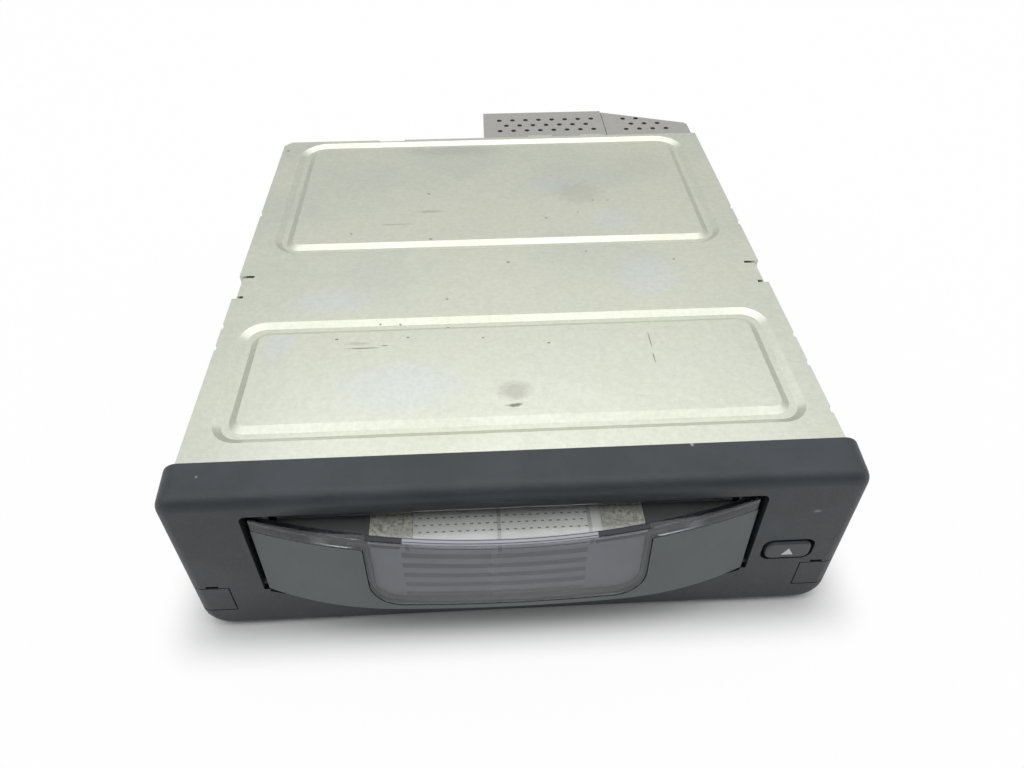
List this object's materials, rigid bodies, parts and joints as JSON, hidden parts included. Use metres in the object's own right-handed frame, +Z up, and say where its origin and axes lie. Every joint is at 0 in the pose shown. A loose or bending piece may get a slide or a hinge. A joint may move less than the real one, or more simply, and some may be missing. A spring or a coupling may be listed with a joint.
{
  "type": "car disc changer",
  "caption": "In-dash disc changer for a car: sheet metal case, dark trim plate, bowed fold-down door with smoked window, eject button, slide-out magazine with trays and a lifting playing deck.",
  "frame": {"origin": "middle of the overall box at its bottom, which is the underside of the feet", "axes": "+Z up, -Y towards the front (the door), +X to the right seen from the front"},
  "size_m": [0.188, 0.2377, 0.0588],
  "materials": {
    "galvanised": "zinc-coated sheet, satin",
    "trim_grey": "fine satin grain",
    "door_grey": "satin paint",
    "smoked_clear": "smoked clear moulding",
    "insert_white": "satin white",
    "strip_felt": "wool felt",
    "button_grey": "satin",
    "mark_light": "printed",
    "board_green": "solder resist",
    "black_plastic": "moulded",
    "chip_black": "moulded",
    "capacitor_sleeve": "shrunk sleeve",
    "tin_contact": "plated",
    "screw_zinc": "zinc plated",
    "magazine_black": "moulded",
    "tray_grey": "moulded",
    "deck_steel": "zinc-coated sheet",
    "damper_rubber": "soft",
    "motor_steel": "drawn can",
    "ground_rod": "ground",
    "gear_white": "acetal",
    "pickup_metal": "die cast, grey",
    "lens_clear": "coated lens"
  },
  "bodies": {
    "chassis": {"front_trim": "trim_grey", "trim_screws": "screw_zinc", "corner_cover_left": "trim_grey", "corner_cover_right": "trim_grey", "hinge_pins": "black_plastic", "front_board": "board_green", "eject_switch": "black_plastic", "top_cover": "galvanised", "cover_screws": "screw_zinc", "base_plate": "galvanised", "side_wall_left": "galvanised", "side_wall_right": "galvanised", "front_plate": "galvanised", "rear_plate": "galvanised", "rear_housing": "galvanised", "rear_shield": "galvanised", "rear_socket": "black_plastic", "socket_contacts": "tin_contact", "rear_board": "board_green", "main_board": "board_green", "board_chips": "chip_black", "board_capacitors": "capacitor_sleeve", "magazine_rail_left": "deck_steel", "magazine_rail_right": "deck_steel", "clamp_bridge": "galvanised", "lift_frame_left": "deck_steel", "lift_frame_right": "deck_steel", "gear_axle": "ground_rod", "drive_motor": "motor_steel", "motor_bracket": "deck_steel"},
    "door": {"door_panel": "door_grey", "door_lens": "smoked_clear", "door_insert": "insert_white", "insert_strips": "strip_felt"},
    "button": {"eject_button": "button_grey", "button_mark": "mark_light"},
    "magazine": {"magazine_case": "magazine_black", "magazine_front": "magazine_black"},
    "deck": {"lift_carriage": "deck_steel", "deck_dampers": "damper_rubber", "deck_plate": "deck_steel", "spindle_motor": "motor_steel", "guide_rods": "ground_rod", "feed_motor": "motor_steel"},
    "turntable": {"turntable": "black_plastic"},
    "pickup": {"pickup_sled": "pickup_metal", "pickup_lens": "lens_clear"},
    "feed_screw": {"feed_screw": "ground_rod"},
    "clamper": {"clamper": "black_plastic"},
    "cam": {"cam_slide": "deck_steel"},
    "drive_gear": {"drive_gear": "gear_white"},
    "motor_pinion": {"motor_pinion": "gear_white"},
    "tray_1": {"disc_tray_1": "tray_grey"},
    "tray_2": {"disc_tray_2": "tray_grey"},
    "tray_3": {"disc_tray_3": "tray_grey"},
    "tray_4": {"disc_tray_4": "tray_grey"},
    "tray_5": {"disc_tray_5": "tray_grey"},
    "tray_6": {"disc_tray_6": "tray_grey"}
  },
  "joints": [
    {"name": "magazine_slide", "type": "slide", "parent": "chassis", "child": "magazine", "axis": [0, -1, 0], "range_m": [0, 0.017]},
    {"name": "door_hinge", "type": "hinge", "parent": "chassis", "child": "door", "pos_m": [-0.003, -0.10645, 0.0209], "axis": [1, 0, 0], "range_deg": [0, 90.2]},
    {"name": "eject_button", "type": "slide", "parent": "chassis", "child": "button", "axis": [0, 1, 0], "range_m": [0, 0.001], "stiffness_N_per_m": 300, "springref_m": -0.001},
    {"name": "deck_lift", "type": "slide", "parent": "chassis", "child": "deck", "axis": [0, 0, 1], "range_m": [0, 0.025]},
    {"name": "cam_slide", "type": "slide", "parent": "chassis", "child": "cam", "axis": [0, -1, 0], "range_m": [0, 0.0251]},
    {"name": "drive_gear_spin", "type": "hinge", "parent": "chassis", "child": "drive_gear", "pos_m": [0.0784, 0.03255, 0.05017], "axis": [-1, 0, 0], "range_deg": [0, 398.9]},
    {"name": "motor_pinion_spin", "type": "hinge", "parent": "chassis", "child": "motor_pinion", "pos_m": [0.0764, 0.02575, 0.05017], "axis": [1, 0, 0], "range_deg": [0, 796.8]},
    {"name": "turntable_spin", "type": "hinge", "parent": "deck", "child": "turntable", "pos_m": [-0.003, 0.02985, 0.025], "axis": [0, 0, 1], "continuous": true},
    {"name": "pickup_slide", "type": "slide", "parent": "deck", "child": "pickup", "axis": [0, 1, 0], "range_m": [0, 0.03]},
    {"name": "feed_screw_spin", "type": "hinge", "parent": "deck", "child": "feed_screw", "pos_m": [0.027, 0.02985, 0.0186], "axis": [0, 1, 0], "range_deg": [0, 3602]},
    {"name": "clamper_spin", "type": "hinge", "parent": "chassis", "child": "clamper", "pos_m": [-0.003, 0.02985, 0.05], "axis": [0, 0, 1], "continuous": true},
    {"name": "tray_1_slide", "type": "slide", "parent": "magazine", "child": "tray_1", "axis": [0, 1, 0], "range_m": [0, 0.0698]},
    {"name": "tray_2_slide", "type": "slide", "parent": "magazine", "child": "tray_2", "axis": [0, 1, 0], "range_m": [0, 0.0698]},
    {"name": "tray_3_slide", "type": "slide", "parent": "magazine", "child": "tray_3", "axis": [0, 1, 0], "range_m": [0, 0.0698]},
    {"name": "tray_4_slide", "type": "slide", "parent": "magazine", "child": "tray_4", "axis": [0, 1, 0], "range_m": [0, 0.0698]},
    {"name": "tray_5_slide", "type": "slide", "parent": "magazine", "child": "tray_5", "axis": [0, 1, 0], "range_m": [0, 0.0698]},
    {"name": "tray_6_slide", "type": "slide", "parent": "magazine", "child": "tray_6", "axis": [0, 1, 0], "range_m": [0, 0.0698]}
  ],
  "couplings": [
    {"joint": "door_hinge", "follows": "magazine_slide", "rad_per_m": 92.4},
    {"joint": "cam_slide", "follows": "deck_lift", "ratio": 1},
    {"joint": "drive_gear_spin", "follows": "deck_lift", "rad_per_m": 277.78},
    {"joint": "motor_pinion_spin", "follows": "deck_lift", "rad_per_m": 555.56},
    {"joint": "feed_screw_spin", "follows": "pickup_slide", "rad_per_m": 2094.4}
  ]
}
